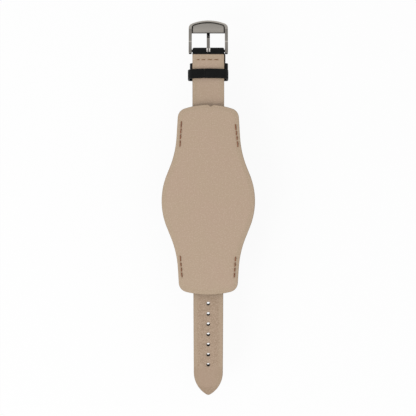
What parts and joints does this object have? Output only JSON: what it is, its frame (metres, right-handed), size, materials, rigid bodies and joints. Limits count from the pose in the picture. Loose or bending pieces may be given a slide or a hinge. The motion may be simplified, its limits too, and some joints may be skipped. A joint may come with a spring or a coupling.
{
  "type": "bund watch strap",
  "caption": "Leather bund strap with a wide wrist pad, two strap halves held by bridges, sprung bars, keepers and a steel pin buckle.",
  "frame": {"origin": "centre of the pad's flat wrist face", "axes": "+Z out of the wrist face, +Y along the strap towards the buckle, +X across it"},
  "size_m": [0.0582, 0.2383, 0.0093],
  "materials": {
    "lining_leather": "smooth vegetable-tanned lining",
    "front_leather": "black, lightly grained, finished edges",
    "core_board": "bonded leather fibre board",
    "filler_board": "bonded leather fibre filler",
    "pad_thread": "waxed polyester thread, dark brown",
    "strap_thread": "waxed polyester thread, brown",
    "black_thread": "waxed polyester thread, black",
    "buckle_steel": "satin stainless steel",
    "bar_steel": "drawn stainless steel",
    "spring_steel": "spring steel wire"
  },
  "bodies": {
    "pad": {"pad_lining": "lining_leather", "pad_cover": "front_leather", "pad_core": "core_board", "upper_bridge": "front_leather", "lower_bridge": "front_leather", "upper_left_stitch": "pad_thread", "upper_right_stitch": "pad_thread", "lower_left_stitch": "pad_thread", "lower_right_stitch": "pad_thread"},
    "buckle_strap": {"buckle_strap_lining": "lining_leather", "buckle_strap_filler": "filler_board", "buckle_strap_cover": "front_leather", "buckle_end_stitch": "strap_thread", "upper_lug_stitch": "strap_thread", "fixed_keeper": "front_leather"},
    "tail_strap": {"tail_strap_lining": "lining_leather", "tail_strap_filler": "filler_board", "tail_strap_cover": "front_leather", "lower_lug_stitch": "strap_thread"},
    "free_keeper": {"free_keeper": "front_leather", "free_keeper_stitch": "black_thread"},
    "buckle": {"buckle_frame": "buckle_steel"},
    "tang": {"buckle_tang": "buckle_steel"},
    "buckle_bar": {"buckle_bar_tube": "bar_steel", "buckle_bar_spring": "spring_steel"},
    "buckle_bar_left_pin": {"buckle_bar_left_pin": "bar_steel"},
    "buckle_bar_right_pin": {"buckle_bar_right_pin": "bar_steel"},
    "upper_lug_bar": {"upper_lug_bar_tube": "bar_steel", "upper_lug_bar_spring": "spring_steel"},
    "upper_lug_bar_left_pin": {"upper_lug_bar_left_pin": "bar_steel"},
    "upper_lug_bar_right_pin": {"upper_lug_bar_right_pin": "bar_steel"},
    "lower_lug_bar": {"lower_lug_bar_tube": "bar_steel", "lower_lug_bar_spring": "spring_steel"},
    "lower_lug_bar_left_pin": {"lower_lug_bar_left_pin": "bar_steel"},
    "lower_lug_bar_right_pin": {"lower_lug_bar_right_pin": "bar_steel"}
  },
  "joints": [
    {"name": "buckle_strap_slide", "type": "slide", "parent": "pad", "child": "buckle_strap", "axis": [0, 1, 0], "range_m": [-0.003, 0.04]},
    {"name": "tail_strap_slide", "type": "slide", "parent": "pad", "child": "tail_strap", "axis": [0, -1, 0], "range_m": [-0.005, 0.04]},
    {"name": "free_keeper_slide", "type": "slide", "parent": "buckle_strap", "child": "free_keeper", "axis": [0, -1, 0], "range_m": [0, 0.013]},
    {"name": "buckle_swing", "type": "hinge", "parent": "buckle_strap", "child": "buckle", "pos_m": [0, 0.09425, -0.005], "axis": [-1, 0, 0], "range_deg": [-60, 40]},
    {"name": "tang_swing", "type": "hinge", "parent": "buckle", "child": "tang", "pos_m": [0, 0.09425, -0.005], "axis": [-1, 0, 0], "range_deg": [0, 90]},
    {"name": "buckle_bar_spin", "type": "hinge", "parent": "buckle", "child": "buckle_bar", "pos_m": [0, 0.09425, -0.005], "axis": [1, 0, 0], "continuous": true},
    {"name": "buckle_bar_left_pin_press", "type": "slide", "parent": "buckle_bar", "child": "buckle_bar_left_pin", "axis": [1, 0, 0], "range_m": [0, 0.0012], "stiffness_N_per_m": 500, "springref_m": -0.001, "deforming": ["buckle_bar_spring"]},
    {"name": "buckle_bar_right_pin_press", "type": "slide", "parent": "buckle_bar", "child": "buckle_bar_right_pin", "axis": [-1, 0, 0], "range_m": [0, 0.0012], "stiffness_N_per_m": 500, "springref_m": -0.001, "deforming": ["buckle_bar_spring"]},
    {"name": "upper_lug_bar_spin", "type": "hinge", "parent": "buckle_strap", "child": "upper_lug_bar", "pos_m": [0, 0.01825, -0.005], "axis": [1, 0, 0], "continuous": true},
    {"name": "upper_lug_bar_left_pin_press", "type": "slide", "parent": "upper_lug_bar", "child": "upper_lug_bar_left_pin", "axis": [1, 0, 0], "range_m": [0, 0.0012], "stiffness_N_per_m": 500, "springref_m": -0.001, "deforming": ["upper_lug_bar_spring"]},
    {"name": "upper_lug_bar_right_pin_press", "type": "slide", "parent": "upper_lug_bar", "child": "upper_lug_bar_right_pin", "axis": [-1, 0, 0], "range_m": [0, 0.0012], "stiffness_N_per_m": 500, "springref_m": -0.001, "deforming": ["upper_lug_bar_spring"]},
    {"name": "lower_lug_bar_spin", "type": "hinge", "parent": "tail_strap", "child": "lower_lug_bar", "pos_m": [0, -0.01825, -0.005], "axis": [1, 0, 0], "continuous": true},
    {"name": "lower_lug_bar_left_pin_press", "type": "slide", "parent": "lower_lug_bar", "child": "lower_lug_bar_left_pin", "axis": [1, 0, 0], "range_m": [0, 0.0012], "stiffness_N_per_m": 500, "springref_m": -0.001, "deforming": ["lower_lug_bar_spring"]},
    {"name": "lower_lug_bar_right_pin_press", "type": "slide", "parent": "lower_lug_bar", "child": "lower_lug_bar_right_pin", "axis": [-1, 0, 0], "range_m": [0, 0.0012], "stiffness_N_per_m": 500, "springref_m": -0.001, "deforming": ["lower_lug_bar_spring"]}
  ]
}
